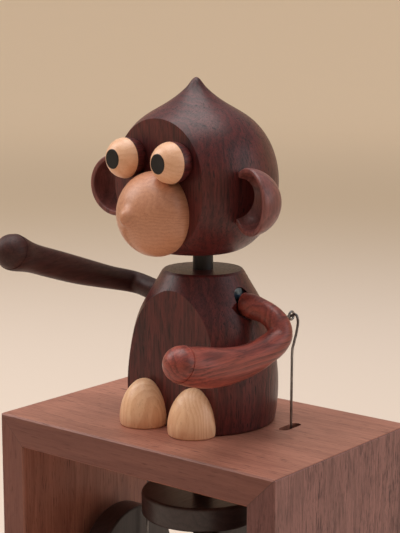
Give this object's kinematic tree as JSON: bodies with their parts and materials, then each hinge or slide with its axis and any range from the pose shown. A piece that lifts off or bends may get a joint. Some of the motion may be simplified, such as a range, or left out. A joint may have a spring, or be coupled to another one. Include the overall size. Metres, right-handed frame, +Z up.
{
  "type": "crank automaton",
  "caption": "Hand-cranked wooden automaton: a turned monkey figure on an open mitred box; the crank swings its arms through wire push rods and turns its head.",
  "frame": {"origin": "middle of the underside of the box", "axes": "+Z up; -Y is the open front that the figure faces; +X to the right seen from the front, on the crank's side"},
  "size_m": [0.1758, 0.1135, 0.2433],
  "materials": {
    "box_walnut": "satin",
    "figure_walnut": "satin",
    "wheel_walnut": "satin",
    "maple": "satin",
    "black_wood": "satin",
    "dowel_wood": "satin",
    "black_gloss": "gloss",
    "steel": "satin",
    "blued_steel": "satin"
  },
  "bodies": {
    "box_group": {"top_panel": "box_walnut", "bottom_panel": "box_walnut", "left_side_panel": "box_walnut", "right_side_panel": "box_walnut", "body": "figure_walnut", "left_foot": "maple", "right_foot": "maple", "left_shoulder_pin": "blued_steel", "right_shoulder_pin": "blued_steel", "left_shoulder_washer": "blued_steel", "right_shoulder_washer": "blued_steel"},
    "crank_group": {"crank_shaft": "dowel_wood", "left_crank_wheel": "wheel_walnut", "right_crank_wheel": "wheel_walnut", "friction_wheel": "wheel_walnut", "left_eccentric": "wheel_walnut", "right_eccentric": "wheel_walnut", "crank_arm": "box_walnut", "crank_pin": "steel", "shaft_cap": "wheel_walnut"},
    "knob_group": {"crank_knob": "maple"},
    "head_group": {"head_disc": "wheel_walnut", "neck_rod": "black_wood", "head": "figure_walnut", "muzzle": "maple", "left_eye": "maple", "left_eye_back": "figure_walnut", "left_pupil": "black_gloss", "left_ear": "figure_walnut", "right_eye": "maple", "right_eye_back": "figure_walnut", "right_pupil": "black_gloss", "right_ear": "figure_walnut"},
    "arm_right": {"right_arm": "figure_walnut", "right_wire_eye": "steel"},
    "arm_left": {"left_arm": "figure_walnut", "left_wire_eye": "steel"},
    "rod_right": {"right_push_rod": "steel"},
    "rod_left": {"left_push_rod": "steel"}
  },
  "joints": [
    {"name": "crank_turn", "type": "hinge", "parent": "box_group", "child": "crank_group", "pos_m": [0, 0.0044, 0.044], "axis": [1, 0, 0], "continuous": true},
    {"name": "knob_spin", "type": "hinge", "parent": "crank_group", "child": "knob_group", "pos_m": [0.075, 0.0044, 0.01], "axis": [1, 0, 0], "continuous": true},
    {"name": "head_turn", "type": "hinge", "parent": "box_group", "child": "head_group", "pos_m": [-0.0015, 0.0024, 0.1], "axis": [0, 0, 1], "continuous": true},
    {"name": "right_arm_swing", "type": "hinge", "parent": "box_group", "child": "arm_right", "pos_m": [0.0186, 0.0011, 0.1615], "axis": [-1, 0, 0], "range_deg": [-5, 41]},
    {"name": "left_arm_swing", "type": "hinge", "parent": "box_group", "child": "arm_left", "pos_m": [-0.0216, 0.0011, 0.1615], "axis": [-1, 0, 0], "range_deg": [-41, 5]},
    {"name": "right_rod_swing", "type": "hinge", "parent": "arm_right", "child": "rod_right", "pos_m": [0.0325, 0.0131, 0.1549], "axis": [-1, 0, 0], "range_deg": [-46, 6]},
    {"name": "left_rod_swing", "type": "hinge", "parent": "arm_left", "child": "rod_left", "pos_m": [-0.0355, 0.012, 0.159], "axis": [-1, 0, 0], "range_deg": [-6, 42]}
  ],
  "couplings": [
    {"joint": "head_turn", "follows": "crank_turn", "ratio": -3.0052},
    {"joint": "left_arm_swing", "follows": "right_arm_swing", "ratio": -1},
    {"joint": "right_rod_swing", "follows": "right_arm_swing", "ratio": -1.105},
    {"joint": "left_rod_swing", "follows": "right_arm_swing", "ratio": 1}
  ]
}
